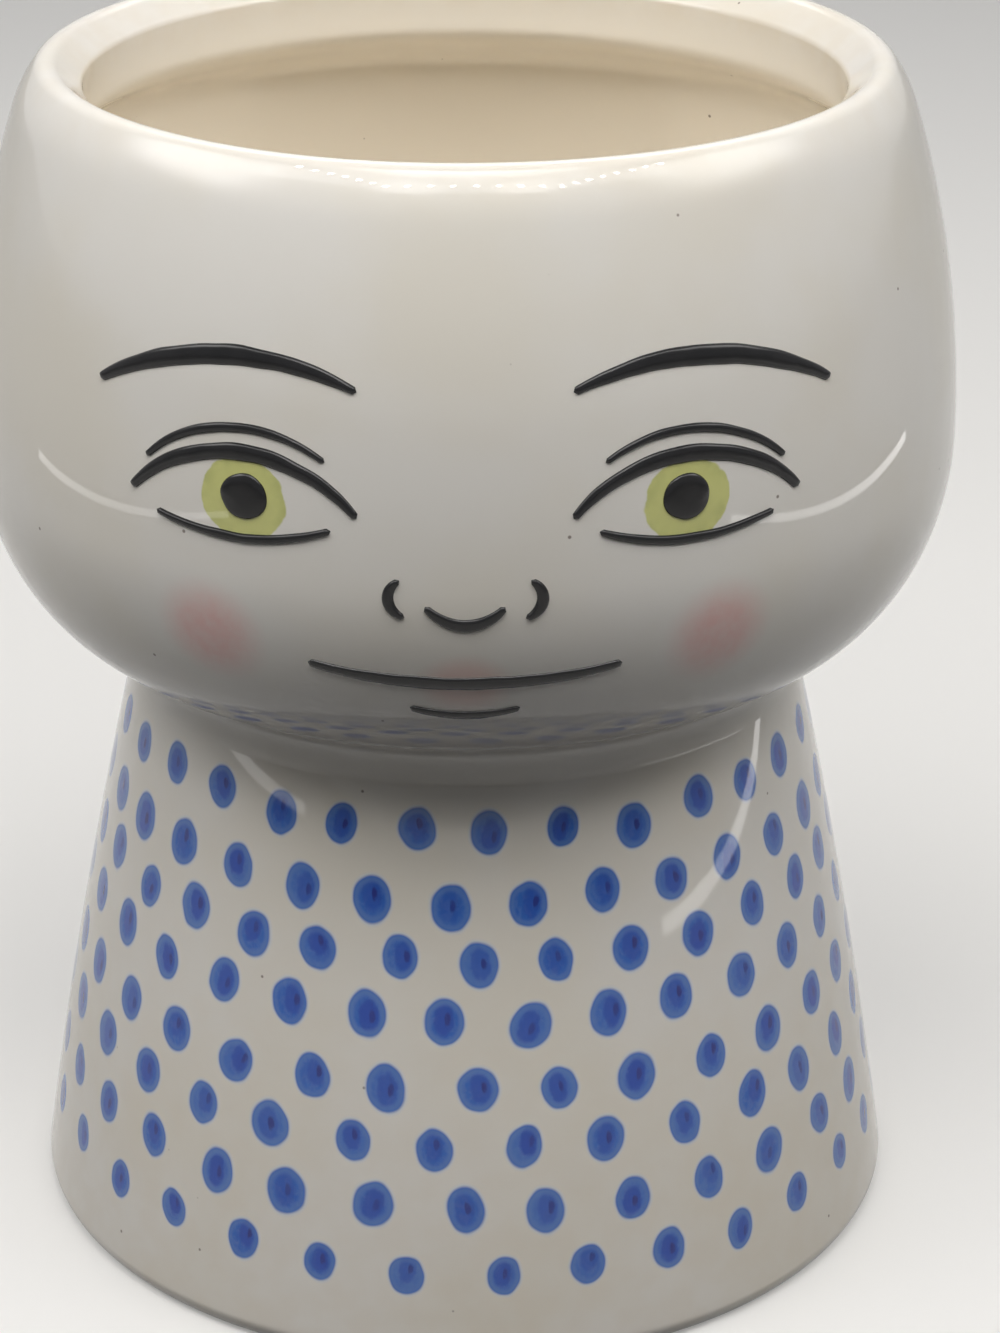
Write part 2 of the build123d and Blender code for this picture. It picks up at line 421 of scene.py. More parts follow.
def turned_piece(name, outline):
    """The outline turned round the axis as one closed smooth mesh that carries the outline's marks."""
    points = outline.points
    normals = outline_normals(outline)
    count = len(points)
    vertices = []
    for turn in range(around):
        angle = 2 * pi * turn / around
        for point, normal in zip(points, normals):
            depth = unevenness(angle, max(point.y, 0))
            radius = max(point.x - normal.x * depth, 0)
            vertices.append((radius * cos(angle), radius * sin(angle), max(point.y - normal.y * depth, 0)))
    faces = []
    segments = []
    for turn in range(around):
        here = turn * count
        there = (turn + 1) % around * count
        for index in range(count):
            following = (index + 1) % count
            faces.append((here + index, there + index, there + following, here + following))
            segments.append((turn, index))
    mesh = bpy.data.meshes.new(name)
    mesh.from_pydata(vertices, [], faces)
    mesh.polygons.foreach_set("use_smooth", [True] * len(faces))
    mesh.set_sharp_from_angle(angle=radians(sharp_turn))
    for mark in ("hollow", "edge"):
        values = [m[mark] for m in outline.marks] * around
        mesh.attributes.new(mark, "FLOAT", "POINT").data.foreach_set("value", values)
    return new_object(name, mesh), segments


def give_clay(piece, outline, segments, clay):
    """The second material, bare clay, on the faces whose outline is marked as bare, if any is."""
    marks = [m["clay"] for m in outline.marks]
    if any(marks):
        piece.data.materials.append(clay)
        piece.data.polygons.foreach_set("material_index", [marks[index] for _, index in segments])


def weld_axis(piece):
    """Joins the points that meet on the axis."""
    form = bmesh.new()
    form.from_mesh(piece.data)
    middle = [vertex for vertex in form.verts if hypot(vertex.co.x, vertex.co.y) < hair]
    bmesh.ops.remove_doubles(form, verts=middle, dist=2 * hair)
    form.to_mesh(piece.data)
    form.free()


def dab_places():
    """Every dab: turn, height, half sizes, tilt and a number of its own, with the hand's spread."""
    hand = random.Random(dab_seed)
    dabs = []
    for row, (height, first_turn) in enumerate(zip(row_heights, row_turns)):
        outer = row in (0, len(row_heights) - 1)
        size = outer_row_share if outer else 1
        radius = wall_from_axis(*torso_wall()[:2], height)
        for place in range(dabs_round):
            turn = radians(first_turn - 90 + 360 * place / dabs_round) + hand.gauss(0, dab_shift) / radius
            grow = size * (1 + hand.uniform(-dab_size_spread, dab_size_spread))
            half_width = dab_half_width * grow * (1 + hand.uniform(-dab_size_spread, dab_size_spread))
            tilt = radians(hand.gauss(0, dab_tilt_spread))
            middle = height - row_waver * cos(turn) + hand.gauss(0, dab_shift)
            number = hand.uniform(0, dab_numbers)
            dabs.append((turn, middle, half_width, dab_half_height * grow, tilt, number))
    return np.array(dabs)


def values_of(items, key, kind, width):
    """A value of each of a mesh's items, as rows of an array."""
    values = np.zeros(len(items) * width, kind)
    items.foreach_get(key, values)
    return values.reshape(-1, width)


def mark_dabs(piece):
    """Gives each face's corners their place in the nearest dab, in half sizes, and the dab's number."""
    mesh = piece.data
    places = values_of(mesh.vertices, "co", float, 3)
    corners = values_of(mesh.loops, "vertex_index", int, 1)[:, 0]
    middles = values_of(mesh.polygons, "center", float, 3)
    totals = values_of(mesh.polygons, "loop_total", int, 1)[:, 0]
    dabs = dab_places()

    turn = np.arctan2(middles[:, 1], middles[:, 0])
    radius = np.hypot(middles[:, 0], middles[:, 1])
    around_gap = (turn[:, None] - dabs[None, :, 0] + pi) % (2 * pi) - pi
    across = around_gap * radius[:, None] / dabs[None, :, 2]
    up = (middles[:, 2][:, None] - dabs[None, :, 1]) / dabs[None, :, 3]
    nearest = np.argmin(across ** 2 + up ** 2, axis=1)

    centre, wall_radius = torso_wall()[:2]
    wall_at = np.array([wall_from_axis(centre, wall_radius, z) for z in middles[:, 2]])
    outside = (radius > wall_at - wall / 2) & (middles[:, 2] > foot_arc)

    face_of_corner = np.repeat(np.arange(len(mesh.polygons)), totals)
    own = dabs[nearest[face_of_corner]]
    spots = places[corners]
    corner_turn = np.arctan2(spots[:, 1], spots[:, 0])
    gap = (corner_turn - own[:, 0] + pi) % (2 * pi) - pi
    x = gap * np.hypot(spots[:, 0], spots[:, 1])
    y = spots[:, 2] - own[:, 1]
    tilted_x = (x * np.cos(own[:, 4]) + y * np.sin(own[:, 4])) / own[:, 2]
    tilted_y = (y * np.cos(own[:, 4]) - x * np.sin(own[:, 4])) / own[:, 3]
    values = np.stack([tilted_x, tilted_y, own[:, 5]], axis=1)
    values[~outside[face_of_corner]] = (far_from_dabs, far_from_dabs, 0)
    mesh.attributes.new("dab", "FLOAT_VECTOR", "CORNER").data.foreach_set("vector", values.ravel())


def head_radius_at(height):
    """The true outline's radius at a height between the head's underside and its shoulder."""
    if height <= belly_height:
        drop = (belly_height - height) / cheek_reach.y
        return underside_radius + cheek_reach.x * sqrt(max(0, 1 - drop ** 2))
    return side_centre.x + sqrt(side_radius ** 2 - (height - belly_height) ** 2)


def on_face(across, height, rise):
    """The point over the front of the head, seen from the front at a place, standing proud by a rise."""
    radius = head_radius_at(height)
    point = Vector((across, -sqrt(radius ** 2 - across ** 2), height))
    slope = (head_radius_at(height + hair) - head_radius_at(height - hair)) / (2 * hair)
    normal = Vector((point.x / radius, point.y / radius, -slope)).normalized()
    depth = unevenness(atan2(point.y, point.x), height)
    return point + normal * (rise - depth)


def circle_through(a, b, c):
    """Centre and radius of the circle through three points of the front view."""
    ax, ay = b - a
    bx, by = c - a
    turn = 2 * (ax * by - ay * bx)
    a_part = ax * ax + ay * ay
    b_part = bx * bx + by * by
    centre = Vector((by * a_part - ay * b_part, ax * b_part - bx * a_part)) / turn
    return a + centre, centre.length


def share_points(anchor, shares, side=1):
    """Points of the front view from shares of the eye's width."""
    return [anchor + Vector((side * across, up)) * eye_width for across, up in shares]


def spine_of(points):
    """The arc through three points: what gives its point and way at a share of it, and its length."""
    centre, radius = circle_through(*points)
    angles = [atan2(p.y - centre.y, p.x - centre.x) for p in points]
    span = (angles[2] - angles[0] + pi) % (2 * pi) - pi
    direction = 1 if span > 0 else -1

    def place(t):
        angle = angles[0] + span * t
        point = centre + Vector((cos(angle), sin(angle))) * radius
        return point, Vector((-sin(angle), cos(angle))) * direction

    return place, abs(span) * radius


def bead_mesh(name, rings):
    """A closed mesh over rings of points, each ring a loop round the bead's section."""
    vertices = [point for ring in rings for point in ring]
    size = len(rings[0])
    faces = []
    for row in range(len(rings) - 1):
        for index in range(size):
            following = (index + 1) % size
            faces.append((row * size + index, row * size + following,
                          (row + 1) * size + following, (row + 1) * size + index))
    faces.append(tuple(reversed(range(size))))
    faces.append(tuple((len(rings) - 1) * size + index for index in range(size)))
    mesh = bpy.data.meshes.new(name)
    mesh.from_pydata(vertices, [], faces)
    mesh.polygons.foreach_set("use_smooth", [True] * len(faces))
    return new_object(name, mesh)


def enamel_line(name, points, widths, seed):
    """One brush line of raised enamel: it tapers to round tips and wavers a little, as a hand does."""
    place, length = spine_of(points)
    middle, tip = widths
    steps = ceil((length + tip) / bead_step)
    rings = []
    for step in range(steps + 1):
        along = -tip / 2 + (length + tip) * step / steps
        t = min(1, max(0, along / length))
        point, way = place(t)
        beyond = along - t * length
        point = point + way * beyond
        cross = Vector((-way.y, way.x))
        full = (tip + (middle - tip) * (1 - (2 * t - 1) ** 2)) / 2
        from_end = min(along + tip / 2, length + tip / 2 - along)
        rounding = sqrt(max(bluntest, 1 - max(0, 1 - from_end / (tip / 2)) ** 2))
        phase = Vector((along / bank_wave, seed * line_seed, 0))
        drift = noise.noise(phase * spine_pace + Vector((0, 0, spine_seed))) * spine_unevenness
        swings = [noise.noise(phase + Vector((0, 0, side * bank_seed))) for side in (1, 2)]
        banks = [full * rounding * (1 + bank_unevenness * swing) for swing in swings]
        swing = noise.noise(phase * rise_pace + Vector((0, 0, rise_seed)))
        height = enamel_rise * rounding * (1 - rise_unevenness + rise_unevenness * swing)
        ring = []
        for column in range(bead_columns + 1):
            s = 2 * column / bead_columns - 1
            spot = point + cross * (drift + (banks[0] if s > 0 else banks[1]) * s)
            ring.append(on_face(spot.x, spot.y, height * (1 - abs(s) ** bead_section[0]) ** bead_section[1]))
        for s in bead_underside:
            spot = point + cross * (drift + (banks[0] if s > 0 else banks[1]) * s)
            ring.append(on_face(spot.x, spot.y, -enamel_sink))
        rings.append(ring)
    return bead_mesh(name, rings)


def enamel_spot(name, centre, radius, seed):
    """A round touch of raised enamel with an uneven edge."""
    rings = []
    for share, rise_share in pupil_rings:
        ring = []
        for column in range(pupil_columns):
            angle = 2 * pi * column / pupil_columns
            spot = Vector((cos(angle), sin(angle)))
            uneven = 1 + pupil_unevenness * noise.noise(Vector((*(spot * pupil_wave), seed)))
            reach = centre + Vector((spot.x * radius, spot.y * radius)) * (share * uneven)
            rise = -enamel_sink if rise_share is None else enamel_rise * rise_share
            ring.append(on_face(reach.x, reach.y, rise))
        rings.append(ring)
    return bead_mesh(name, rings)


class Nodes:
    """A node tree, with short calls for the nodes that the finishes, the lamps and the room share."""

    def __init__(self, tree):
        self.tree = tree
        self.tree.nodes.clear()

    def add(self, kind, sockets=None, **settings):
        """A node with its settings, and its sockets set to a value or fed by another node's output."""
        node = self.tree.nodes.new("ShaderNode" + kind)
        for key, value in settings.items():
            setattr(node, key, value)
        for key, value in (sockets or {}).items():
            self.feed(node.inputs[key], value)
        return node

    def feed(self, socket, value):
        """Sets a socket to a value, or links it to an output or to a node's first output."""
        if isinstance(value, bpy.types.Node):
            value = value.outputs[0]
        if isinstance(value, bpy.types.NodeSocket):
            self.tree.links.new(value, socket)
        else:
            socket.default_value = value

    def attribute(self, name):
        """A mark or a place that the mesh carries."""
        return self.add("Attribute", attribute_name=name)

    def math(self, operation, first, second=0.5):
        """One sum."""
        return self.add("Math", {0: first, 1: second}, operation=operation)

    def vector(self, operation, first, second=(0, 0, 0)):
        """One sum on vectors."""
        return self.add("VectorMath", {0: first, 1: second}, operation=operation)

    def distance(self, first, second):
        """The distance between two places."""
        return self.vector("DISTANCE", first, second).outputs["Value"]

    def length(self, value):
        """The length of a vector."""
        return self.vector("LENGTH", value).outputs["Value"]

    def times_plus(self, first, factor, second):
        """A number times a factor, plus another number."""
        return self.add("Math", {0: first, 1: factor, 2: second}, operation="MULTIPLY_ADD")

    def fade(self, value, start, end, low=0.0, high=1.0):
        """A soft step from one value to another."""
        sockets = {"Value": value, "From Min": start, "From Max": end, "To Min": low, "To Max": high}
        return self.add("MapRange", sockets, interpolation_type="SMOOTHSTEP")

    def bump(self, height, depth, **normal):
        """Shading as if the surface rose and sank over a depth."""
        return self.add("Bump", {"Height": height, "Distance": depth, "Strength": 1.0, **normal})

    def mix(self, share, first, second):
        """Two colours mixed."""
        node = self.add("Mix", data_type="RGBA")
        self.feed(node.inputs[0], share)
        self.feed(node.inputs[6], first)
        self.feed(node.inputs[7], second)
        return node.outputs[2]

    def to_the_eye(self):
        """One for the rays that show a background, to the camera or in a gloss, and nothing for the rest."""
        rays = self.add("LightPath")
        seen = self.math("MAXIMUM", rays.outputs["Is Camera Ray"], rays.outputs["Is Glossy Ray"])
        return self.math("MAXIMUM", seen, rays.outputs["Is Transmission Ray"])


class Finish(Nodes):
    """A material and its node tree."""

    def __init__(self, name):
        self.material = bpy.data.materials.new(name)
        self.material.use_nodes = True
        super().__init__(self.material.node_tree)
        self.output = self.add("OutputMaterial")
        self.place = self.add("TexCoord").outputs["Object"]

    def noise(self, length, detail):
        """Noise over a length on the piece, as a number about a half."""
        return self.add("TexNoise", {"Vector": self.place, "Scale": 1 / length, "Detail": detail})

    def surface(self, **sockets):
        """The glossy or matt surface itself."""
        shader = self.add("BsdfPrincipled", {key.replace("_", " "): value for key, value in sockets.items()})
        self.feed(self.output.inputs["Surface"], shader)


def colour(red, green, blue):
    """A linear colour from screen levels of 0 to 255."""
    levels = [level / 255 for level in (red, green, blue)]
    return [level / 12.92 if level <= 0.04045 else ((level + 0.055) / 1.055) ** 2.4 for level in levels] + [1]


# Colours, in screen levels
glaze_white = colour(232, 229, 223)
glaze_cream = colour(229, 224, 213)
# Painted bounce light: a paler, warmer glaze tone inside the head, so that the hollow renders lighter
painted_bounce_light = colour(248, 240, 225)
glaze_thin = colour(214, 196, 168)
speck_brown = colour(92, 72, 54)
blush_pink = colour(236, 160, 156)
lip_pink = colour(238, 178, 168)
iris_green = colour(206, 208, 112)
iris_olive = colour(150, 158, 62)
dab_thin = colour(88, 128, 198)
dab_body = colour(14, 98, 196)
dab_full = colour(0, 70, 182)
dab_deep = colour(0, 28, 130)
dab_fringe = colour(205, 214, 228)
enamel_black = colour(11, 11, 13)
enamel_worn = colour(22, 21, 23)
clay_bare = colour(214, 196, 170)
clay_dark = colour(196, 172, 140)
floor_seen = colour(200, 199, 197)
floor_in_shade = colour(50, 49, 48)

# The pale background as it is seen, and how much light the room gives the vase
floor_reach = 4.0
floor_roughness = 0.8
room_tint = (0.98, 0.985, 1.0, 1)
room_seen = 0.62
room_strength = 0.02
floor_glow = 0.45

# Panels: turns from the front in degrees and how bright each looks, then their rise above the belly in
# degrees, reach and size in metres, and the share of the half size over which each fades out
lamp_tint = (1.0, 0.985, 0.965)
panels = {
    "key": ((-34, -17, 0, 17, 34), (2.5, 2.45, 2.25, 2.35, 2.4), 67, 0.75, (0.42, 0.38), 0.7),
    "brim": ((-36, 0, 36), (2.2, 2.2, 2.2), 51, 0.78, (0.62, 0.16), 0.35),
    "side": ((-80, 80), (5.4, 4.7), 41, 0.8, (0.75, 0.5), 0.8),
    "back": ((180,), (3.2,), 46, 0.75, (0.7, 0.4), 0.7),
}

# Strips of light low at the sides: the ends behind and in front, as places across and in depth, then height,
# width and how bright each looks, and the height on the axis that both are aimed at
strips = {
    "left": ((-0.216, 0.035), (-0.186, -0.172), 0.060, 0.0032, 1.8),
    "right": ((0.378, 0.155), (0.346, -0.225), 0.007, 0.006, 2.8),
}
strip_aim = 0.1

# Bulbs high in front: a row across, and one back along each side
front_bulbs = 9
side_bulbs = 7
bulb_middle = 0.017
bulb_half_row = 0.165
bulb_reach = 0.345
bulb_height = 0.535
bulb_flare = 0.017
bulb_step = 0.028
bulb_size = (0.009, 0.013)
bulb_radiance = 45

# Camera: the frame's height, focal length and the axis's offset in pixels, the sensor in millimetres as the
# camera takes it, then its place and how far it looks down
frame_height = 1333
focal_length = 3625
axis_offset = 35
sensor_height = 36
camera_place = (0, -440.0 * mm, 262.6 * mm)
camera_pitch = 23.5

# Glaze: gloss, then its clouds, thin edges, waves, grain and specks. Noises: length and detail. Bands: where
# in the noise the tone turns.
glaze_roughness = 0.03
glaze_ior = 1.5
cloud_noise = (32 * mm, 3)
cloud_band = (0.35, 0.65)
thin_noise = (5 * mm, 2)
thin_band = (0.3, 0.7)
thin_least = 0.4
thin_most = 0.4
wave_noise = (7 * mm, 1.5)
wave_depth = 0.007 * mm
grain_noise = (1.1 * mm, 1)
grain_depth = 0.0008 * mm
speck_cell = 6 * mm
speck_radius = 0.13 * mm
speck_blur = 2.2
speck_choice = 0.3
speck_share = 0.75

# Paint of a dab, in its half sizes. Noises: fineness, detail and swirl. Edges: where the paint begins and
# ends. Shares: how strong it is, or the limits between which each dab has its own.
edge_noise = (0.8, 1)
edge_waver = 0.26
swirl_noise = (1.7, 4, 0.9)
wash_noise = (2.6, 3, 0.6)
streak_noise = (1.6, 2)
streak_stretch = (3.6, 0.7, 1)
streak_share = 0.35
body_edge = (1.03, 1.19)
fringe_edge = (1.12, 1.32)
fringe_share = 0.5
wash_band = (0.42, 0.68)
wash_share = 0.4
pale_share = (0, 0.6)
middle_across = (-0.1, 0.25)
middle_up = (-0.15, 0.35)
core_size = (0.55, 0.78, 1)
core_swirl = 0.7
core_edge = (1.08, 1.42)
core_share = (0.35, 1)
thin_edge = (0.70, 0.94)
thin_share = (0.45, 0.9)
tide_edge = (0.97, 1.06)
tide_share = 0.45
pool_aside = (0.12, 0, 0)
pool_steep = 0.12
pool_gentle = 0.26
pool_up = 0.32
pool_edge = (1.0, 1.55)
pool_share = (0.55, 1)
own_factors = {"across": 1.3, "up": 2.1, "core": 3.3, "pool": 4.7, "thin": 5.9, "pale": 7.1}

# Enamel and bare clay: both tones, the length and detail of their mottling and of the grain, and the gloss
mottle_band = (0.3, 0.7)
enamel_look = {"tones": (enamel_black, enamel_worn), "mottle": (2.5 * mm, 2), "grain": (0.9 * mm, 2),
               "grain_depth": 0.02 * mm, "roughness": 0.2, "ior": 1.42}
clay_look = {"tones": (clay_bare, clay_dark), "mottle": (3 * mm, 4), "grain": (0.5 * mm, 3),
             "grain_depth": 0.08 * mm, "roughness": 0.85, "ior": 1.45}


class Glaze(Finish):
    """Glossy warm white glaze: slight clouds, thin on edges, painted bounce light inside, a few specks, and
    then paint.
    """

    def __init__(self, name):
        super().__init__(name)
        clouds = self.fade(self.noise(*cloud_noise), *cloud_band)
        self.paint = self.mix(clouds, glaze_white, glaze_cream)
        worn = self.fade(self.noise(*thin_noise), *thin_band, thin_least)
        thin = self.math("MULTIPLY", self.attribute("edge").outputs["Fac"], worn)
        self.cover(self.math("MULTIPLY", thin, thin_most), glaze_thin)
        # Painted bounce light: the hollow takes a paler, warmer tone, as far as its mark reaches
        self.cover(self.attribute("hollow").outputs["Fac"], painted_bounce_light)
        cells = self.add("TexVoronoi", {"Vector": self.place, "Scale": 1 / speck_cell})
        pick = self.math("GREATER_THAN", self.add("SeparateColor", {0: cells.outputs["Color"]}), speck_choice)
        edge = speck_radius / speck_cell
        spot = self.fade(cells.outputs["Distance"], edge, speck_blur * edge, speck_share, 0)
        self.cover(self.math("MULTIPLY", pick, spot), speck_brown)

    def cover(self, share, paint):
        """Mixes more paint in."""
        self.paint = self.mix(share, self.paint, paint)

    def done(self):
        """The material, with the glaze's own slight waves and grain on top of the clay's."""
        waves = self.bump(self.noise(*wave_noise), wave_depth)
        grain = self.bump(self.noise(*grain_noise), grain_depth, Normal=waves)
        self.surface(Base_Color=self.paint, Roughness=glaze_roughness, IOR=glaze_ior, Normal=grain)
        return self.material


class DabbedGlaze(Glaze):
    """The torso's glaze, with the place in the nearest dab, in half sizes, and the dab's number."""

    def __init__(self, name):
        super().__init__(name)
        parts = self.add("SeparateXYZ", {0: self.attribute("dab").outputs["Vector"]})
        self.number = parts.outputs["Z"]
        self.flat = self.add("CombineXYZ", {0: parts.outputs["X"], 1: parts.outputs["Y"]})

    def own(self, factor, limits):
        """A number of the dab's own between two limits."""
        low, high = limits
        own = self.math("MULTIPLY", self.number, own_factors[factor])
        chance = self.add("TexWhiteNoise", {"W": own}, noise_dimensions="1D").outputs["Value"]
        return self.add("MapRange", {"Value": chance, "To Min": low, "To Max": high})

    def brushed(self, scale, detail, distortion=0.0, stretch=(1, 1, 1)):
        """Noise over the dab that differs from dab to dab."""
        sockets = {"Vector": self.vector("MULTIPLY", self.flat, stretch), "W": self.number, "Scale": scale,
                   "Detail": detail, "Distortion": distortion}
        return self.add("TexNoise", sockets, noise_dimensions="4D")

    def inside(self, value, edge, share):
        """A share of the paint inside an edge, which fades out across it."""
        return self.math("MULTIPLY", self.fade(value, *edge, 1, 0), share)

    def beyond(self, value, edge, share):
        """A share of the paint beyond an edge, which fades in across it."""
        return self.math("MULTIPLY", self.fade(value, *edge), share)


def add_blush(glaze, across, depth, height):
    """A round, soft, slightly grainy blush on each cheek."""
    middle = (blush_across, -sqrt(head_radius_at(blush_height) ** 2 - blush_across ** 2), blush_height)
    from_middle = glaze.distance(glaze.add("CombineXYZ", {0: across, 1: depth, 2: height}), middle)
    blush = glaze.fade(from_middle, blush_core * blush_radius, blush_radius, blush_share, 0)
    grain = glaze.fade(glaze.noise(*blush_noise), *blush_band, blush_least)
    glaze.cover(glaze.math("MULTIPLY", blush, grain), blush_pink)


def add_lip_wash(glaze, across, height, front):
    """A faint oval wash over the middle of the lips."""
    flat = glaze.add("CombineXYZ", {0: across, 2: height})
    spot = glaze.vector("SUBTRACT", flat, (0, 0, mouth_line - lip_wash_drop))
    spot = glaze.vector("DIVIDE", spot, (lip_wash_reach[0], 1, lip_wash_reach[1]))
    wash = glaze.fade(glaze.length(spot), lip_wash_core, 1, lip_wash_share, 0)
    glaze.cover(glaze.math("MULTIPLY", wash, front), lip_pink)


def add_irises(glaze, across, height, front):
    """A ragged green iris in each eye, cut off by the lids and streaked darker toward its edge."""
    eye = Vector((eye_width, eye_line))
    flat = glaze.add("CombineXYZ", {0: across, 2: height})
    from_middle = glaze.distance(flat, (eye.x, 0, eye.y - iris_drop))
    ragged = glaze.times_plus(glaze.noise(*iris_edge_noise), iris_waver, from_middle)
    inside = glaze.fade(ragged, iris_radius, iris_radius + iris_blur, iris_share, 0)
    for lid in ("upper_lid", "lower_lid"):
        centre, radius = circle_through(*share_points(eye, paired_lines[lid][2]))
        from_lid = glaze.distance(flat, (centre.x, 0, centre.y))
        inside = glaze.math("MULTIPLY", inside, glaze.fade(from_lid, radius - iris_blur, radius, 1, 0))
    streaks = glaze.fade(glaze.noise(*iris_streak_noise), *streak_band)
    ring = glaze.fade(from_middle, iris_ring_start * iris_radius, iris_radius, 0, iris_ring_share)
    green = glaze.mix(glaze.math("MULTIPLY", streaks, ring), iris_green, iris_olive)
    glaze.cover(glaze.math("MULTIPLY", inside, front), green)


def face_glaze():
    """The head's glaze, with blush, lip wash and irises on its front."""
    glaze = Glaze("glaze_face")
    across, depth, height = glaze.add("SeparateXYZ", {0: glaze.place}).outputs
    both = glaze.math("ABSOLUTE", across)
    front = glaze.fade(depth, *front_band, 1, 0)
    add_blush(glaze, both, depth, height)
    add_lip_wash(glaze, across, height, front)
    add_irises(glaze, both, height, front)
    return glaze.done()


def dab_pool(glaze, spot):
    """How far a spot lies out in the pool, which is steep on one side and gentle on the other."""
    parts = glaze.add("SeparateXYZ", {0: glaze.vector("SUBTRACT", spot, pool_aside)})
    steep = glaze.math("MULTIPLY", parts.outputs["X"], -1 / pool_steep)
    gentle = glaze.math("MULTIPLY", parts.outputs["X"], 1 / pool_gentle)
    up = glaze.math("MULTIPLY", parts.outputs["Y"], 1 / pool_up)
    return glaze.length(glaze.add("CombineXYZ", {0: glaze.math("MAXIMUM", steep, gentle), 1: up}))


def dab_blue(glaze, edge):
    """A dab's blue: streaked and washed, fuller in the core, thin within the tide line, deep in the pool."""
    swirl = glaze.brushed(*swirl_noise)
    middle = {0: glaze.own("across", middle_across), 1: glaze.own("up", middle_up)}
    spot = glaze.vector("SUBTRACT", glaze.flat, glaze.add("CombineXYZ", middle))
    core = glaze.times_plus(swirl, core_swirl, glaze.length(glaze.vector("DIVIDE", spot, core_size)))
    pool = glaze.math("ADD", swirl, dab_pool(glaze, spot))
    streaks = glaze.brushed(*streak_noise, stretch=streak_stretch)
    blue = glaze.mix(glaze.beyond(streaks, streak_band, streak_share), dab_body, dab_full)
    for share, paint in (
        (glaze.own("pale", pale_share), dab_thin),
        (glaze.beyond(glaze.brushed(*wash_noise), wash_band, wash_share), dab_thin),
        (glaze.inside(core, core_edge, glaze.own("core", core_share)), dab_full),
        (glaze.beyond(edge, thin_edge, glaze.own("thin", thin_share)), dab_thin),
        (glaze.beyond(edge, tide_edge, tide_share), dab_body),
        (glaze.inside(pool, pool_edge, glaze.own("pool", pool_share)), dab_deep),
    ):
        blue = glaze.mix(share, blue, paint)
    return blue


def dabbed_glaze():
    """The torso's glaze with its blue brush dabs, each with a faint fringe outside its edge."""
    glaze = DabbedGlaze("glaze_dabbed")
    edge = glaze.times_plus(glaze.brushed(*edge_noise), edge_waver, glaze.length(glaze.flat))
    glaze.cover(glaze.inside(edge, fringe_edge, fringe_share), dab_fringe)
    glaze.cover(glaze.fade(edge, *body_edge, 1, 0), dab_blue(glaze, edge))
    return glaze.done()


def mottled(name, tones, mottle, grain, grain_depth, roughness, ior):
    """A finish of two tones, mottled, with a fine grain in its surface."""
    finish = Finish(name)
    tone = finish.mix(finish.fade(finish.noise(*mottle), *mottle_band), *tones)
    skin = finish.bump(finish.noise(*grain), grain_depth)
    finish.surface(Base_Color=tone, Roughness=roughness, IOR=ior, Normal=skin)
    return finish.material


def settle(piece, slot_name, *nodes):
    """The piece rides on the vase and stands for its CAD nodes, which it hides; the slot it is given is not
    used.
    """
    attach(piece, "root")
    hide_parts(*nodes)


def make_body():
    """Head, torso and the bead between them."""
    clay = mottled("clay_bare", **clay_look)
    for name, outline, glaze, slot_name, node in (
        ("glazed_head", head_outline(), face_glaze(), "head_glaze", "head_bowl"),
        ("glazed_torso", torso_outline(), dabbed_glaze(), "torso_glaze", "torso_shell"),
        ("slip_bead", seam_outline(), Glaze("glaze_plain").done(), "head_glaze", "neck_seam"),
    ):
        piece, segments = turned_piece(name, outline)
        piece.data.materials.append(glaze)
        give_clay(piece, outline, segments, clay)
        if node == "torso_shell":
            weld_axis(piece)
            mark_dabs(piece)
        settle(piece, slot_name, node)


def make_face():
    """Every enamel line and both pupils, each in the place of its CAD node."""
    enamel = mottled("enamel_black", **enamel_look)
    sides = {"left": 1, "right": -1}
    lines = {}
    for hand, side in sides.items():
        lines.update({f"{name}_{hand}": (side, *row) for name, row in paired_lines.items()})
    lines.update({name: (1, *row) for name, row in single_lines.items()})
    for seed, (node, (side, across, height, shares, widths)) in enumerate(lines.items()):
        points = share_points(Vector((side * across, height)), shares, side)
        piece = enamel_line(f"enamel_{node}", points, widths, seed)
        piece.data.materials.append(enamel)
        settle(piece, "enamel", node)
    for hand, side in sides.items():
        eye = Vector((side * eye_width, eye_line))
        piece = enamel_spot(f"enamel_pupil_{hand}", eye, pupil_radius, pupil_seeds[hand])
        piece.data.materials.append(enamel)
        settle(piece, "enamel", f"pupil_{hand}")


def make_floor():
    """A pale floor, which looks pale and throws little light up under the vase."""
    mesh = bpy.data.meshes.new("floor")
    corners = [(x * floor_reach, y * floor_reach, 0) for x, y in ((-1, -1), (1, -1), (1, 1), (-1, 1))]
    mesh.from_pydata(corners, [], [(0, 1, 2, 3)])
    floor = new_object("floor", mesh)
    finish = Finish("pale_floor")
    seen = finish.to_the_eye()
    glow = finish.math("MULTIPLY", seen, floor_glow)
    finish.surface(Base_Color=finish.mix(seen, floor_in_shade, floor_seen), Roughness=floor_roughness,
                   Emission_Color=floor_seen, Emission_Strength=glow)
    mesh.materials.append(finish.material)


def area_lamp(name, place, target, size, radiance, soft=0.0):
    """A rectangular lamp, as bright to look at as its radiance says, that fades out toward its edges."""
    data = bpy.data.lights.new(name, "AREA")
    data.shape = "RECTANGLE"
    data.size, data.size_y = size
    data.energy = radiance * pi * data.size * data.size_y
    data.color = lamp_tint
    if soft:
        soften(data, soft)
    lamp = new_object(name, data)
    lamp.location = place
    lamp.rotation_euler = (Vector(target) - Vector(place)).to_track_quat("-Z", "Y").to_euler()
    lamp.visible_camera = False
    return lamp


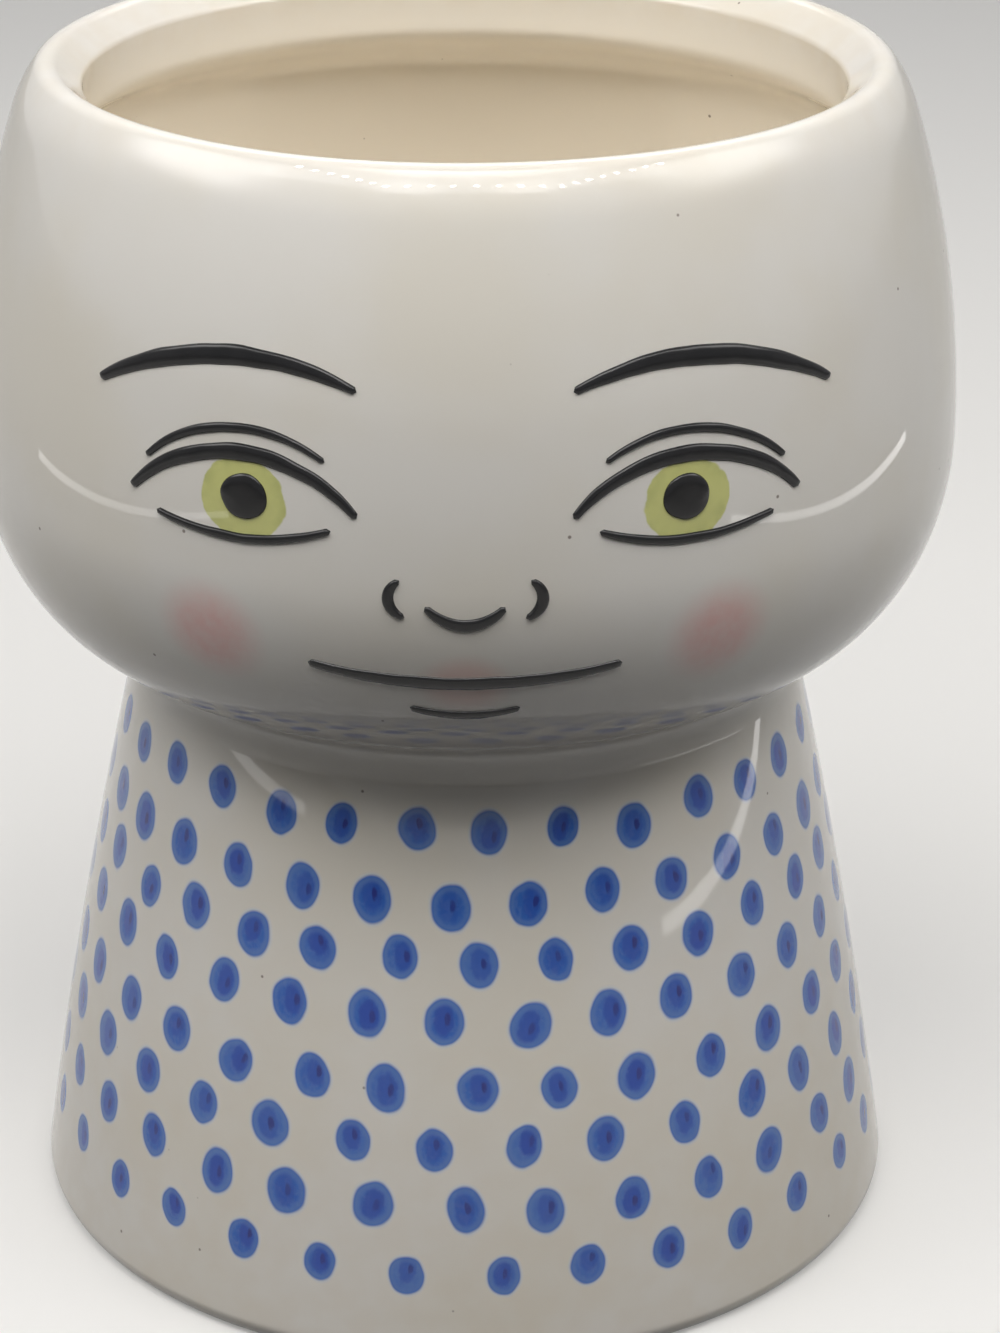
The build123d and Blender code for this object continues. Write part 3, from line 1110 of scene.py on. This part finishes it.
def soften(data, soft):
    """Fades a lamp over a share of its half width and half height, so its reflection has no hard outline."""
    data.use_nodes = True
    nodes = Nodes(data.node_tree)
    place = nodes.vector("SUBTRACT", nodes.add("NewGeometry").outputs["Parametric"], (0.5, 0.5, 0))
    parts = nodes.add("SeparateXYZ", {0: nodes.vector("ABSOLUTE", place)})
    fades = [nodes.fade(parts.outputs[axis], 0.5, 0.5 - 0.5 * soft, 0, 1) for axis in ("X", "Y")]
    glow = nodes.add("Emission", {"Strength": nodes.math("MULTIPLY", *fades)})
    nodes.add("OutputLight", {"Surface": glow})


def make_panels():
    """The large soft panels: an arc high in front, a brim under it, one at each side and one behind."""
    middle = Vector((0, 0, belly_height))
    for name, (turns, radiances, rise, reach, size, soft) in panels.items():
        flat = cos(radians(rise))
        for number, (turn, radiance) in enumerate(zip(turns, radiances)):
            way = Vector((sin(radians(turn)) * flat, -cos(radians(turn)) * flat, sin(radians(rise))))
            area_lamp(f"{name}_{number}", middle + way * reach, middle, size, radiance, soft)


def make_strips():
    """A thin strip of light low at each side, a little nearer in front, which only glossy surfaces show."""
    for name, (behind, before, height, width, radiance) in strips.items():
        back = Vector((*behind, height))
        front = Vector((*before, height))
        middle = (back + front) / 2
        size = ((front - back).length, width)
        lamp = area_lamp(f"strip_{name}", middle, Vector((0, 0, strip_aim)), size, radiance)
        across = ((front - back) * (1 if middle.x > 0 else -1)).normalized()
        facing = Vector((-middle.x, 0, strip_aim - height))
        facing = (facing - across * facing.dot(across)).normalized()
        up = (-facing).cross(across)
        lamp.rotation_euler = Matrix((across, up, -facing)).transposed().to_euler()
        lamp.visible_diffuse = False


def make_bulbs():
    """The row of small bulbs high in front, which turns back along both sides."""
    places = []
    for bulb in range(front_bulbs):
        share = 2 * bulb / (front_bulbs - 1) - 1
        places.append(Vector((bulb_middle + bulb_half_row * share, -bulb_reach, bulb_height)))
    for side in (-1, 1):
        for bulb in range(1, side_bulbs + 1):
            places.append(Vector((bulb_middle + side * (bulb_half_row + bulb * bulb_flare),
                                  -bulb_reach + bulb * bulb_step, bulb_height)))
    for number, place in enumerate(places):
        area_lamp(f"bulb_{number}", place, Vector((0, 0, belly_height)), bulb_size, bulb_radiance)


def make_room():
    """A dim room that shows as a plain pale background."""
    world = bpy.data.worlds.new("room")
    bpy.context.scene.world = world
    world.use_nodes = True
    nodes = Nodes(world.node_tree)
    strength = nodes.add("MapRange", {"Value": nodes.to_the_eye(), "To Min": room_strength,
                                      "To Max": room_seen})
    room = nodes.add("Background", {"Color": room_tint, "Strength": strength})
    nodes.add("OutputWorld", {"Surface": room})


def make_camera():
    """The photograph's view: in front and above, tilted down, with the vase a little left of the middle."""
    data = bpy.data.cameras.new("camera")
    data.sensor_fit = "VERTICAL"
    data.sensor_height = sensor_height
    data.lens = sensor_height * focal_length / frame_height
    data.shift_x = axis_offset / frame_height
    camera = new_object("camera", data)
    camera.location = camera_place
    camera.rotation_euler = (radians(90 - camera_pitch), 0, 0)
    bpy.context.scene.camera = camera


make_body()
make_face()
make_floor()
make_panels()
make_strips()
make_bulbs()
make_room()
make_camera()
bpy.context.scene.view_settings.view_transform = "Standard"
